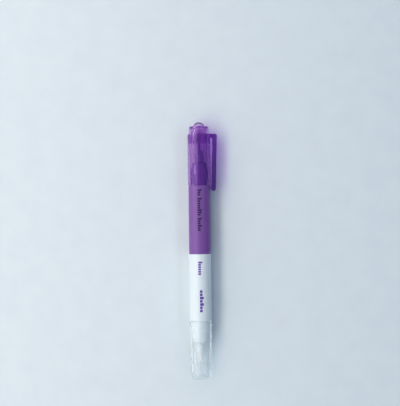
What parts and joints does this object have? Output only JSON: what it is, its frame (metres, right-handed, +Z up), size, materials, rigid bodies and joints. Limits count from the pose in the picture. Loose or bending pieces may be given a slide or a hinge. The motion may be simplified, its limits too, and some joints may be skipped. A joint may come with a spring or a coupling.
{
  "type": "fabric marking pen",
  "caption": "Double-ended fabric marking pen with a purple marker end and a white eraser end, a translucent clip cap and a clear cap, both pulled off along the pen.",
  "frame": {"origin": "under the centre of the pen's box, on the surface that the pen lies on", "axes": "+Y along the pen towards its marker end, +X towards the pocket clip, +Z up from the surface"},
  "size_m": [0.016, 0.14, 0.0124],
  "materials": {
    "marker_plastic": "moulded purple plastic, smooth, semi-gloss",
    "joiner_plastic": "moulded dark purple plastic, semi-gloss",
    "eraser_plastic": "moulded white plastic, smooth, semi-gloss",
    "marker_cap_plastic": "translucent purple plastic, glossy",
    "clip_plastic": "translucent purple plastic, thick enough to look dark",
    "clear_cap_plastic": "clear, slightly frosted plastic",
    "reservoir_film": "thin clear film",
    "ink_fibre": "dark violet ink-soaked fibre",
    "white_fibre": "white pressed fibre"
  },
  "bodies": {
    "barrel": {"marker_barrel": "marker_plastic", "marker_nose": "marker_plastic", "marker_nib_holder": "marker_plastic", "marker_nib": "ink_fibre", "ink_reservoir": "ink_fibre", "ink_reservoir_wrap": "reservoir_film", "centre_joiner": "joiner_plastic", "eraser_barrel": "eraser_plastic", "eraser_nose": "eraser_plastic", "eraser_nib_holder": "eraser_plastic", "eraser_nib": "white_fibre", "eraser_reservoir": "white_fibre", "eraser_reservoir_wrap": "reservoir_film"},
    "marker_cap": {"marker_cap_shell": "marker_cap_plastic", "marker_inner_cap": "marker_cap_plastic"},
    "pocket_clip": {"pocket_clip": "clip_plastic"},
    "eraser_cap": {"eraser_cap_shell": "clear_cap_plastic", "eraser_inner_cap": "clear_cap_plastic"}
  },
  "joints": [
    {"name": "marker_cap_pull", "type": "slide", "parent": "barrel", "child": "marker_cap", "axis": [0, 1, 0], "range_m": [0, 0.04]},
    {"name": "eraser_cap_pull", "type": "slide", "parent": "barrel", "child": "eraser_cap", "axis": [0, -1, 0], "range_m": [0, 0.04]},
    {"name": "clip_flex", "type": "hinge", "parent": "marker_cap", "child": "pocket_clip", "pos_m": [0.00468, 0.06245, 0.0062], "axis": [0, 0, 1], "range_deg": [0, 5], "stiffness_Nm_per_rad": 0.3}
  ]
}
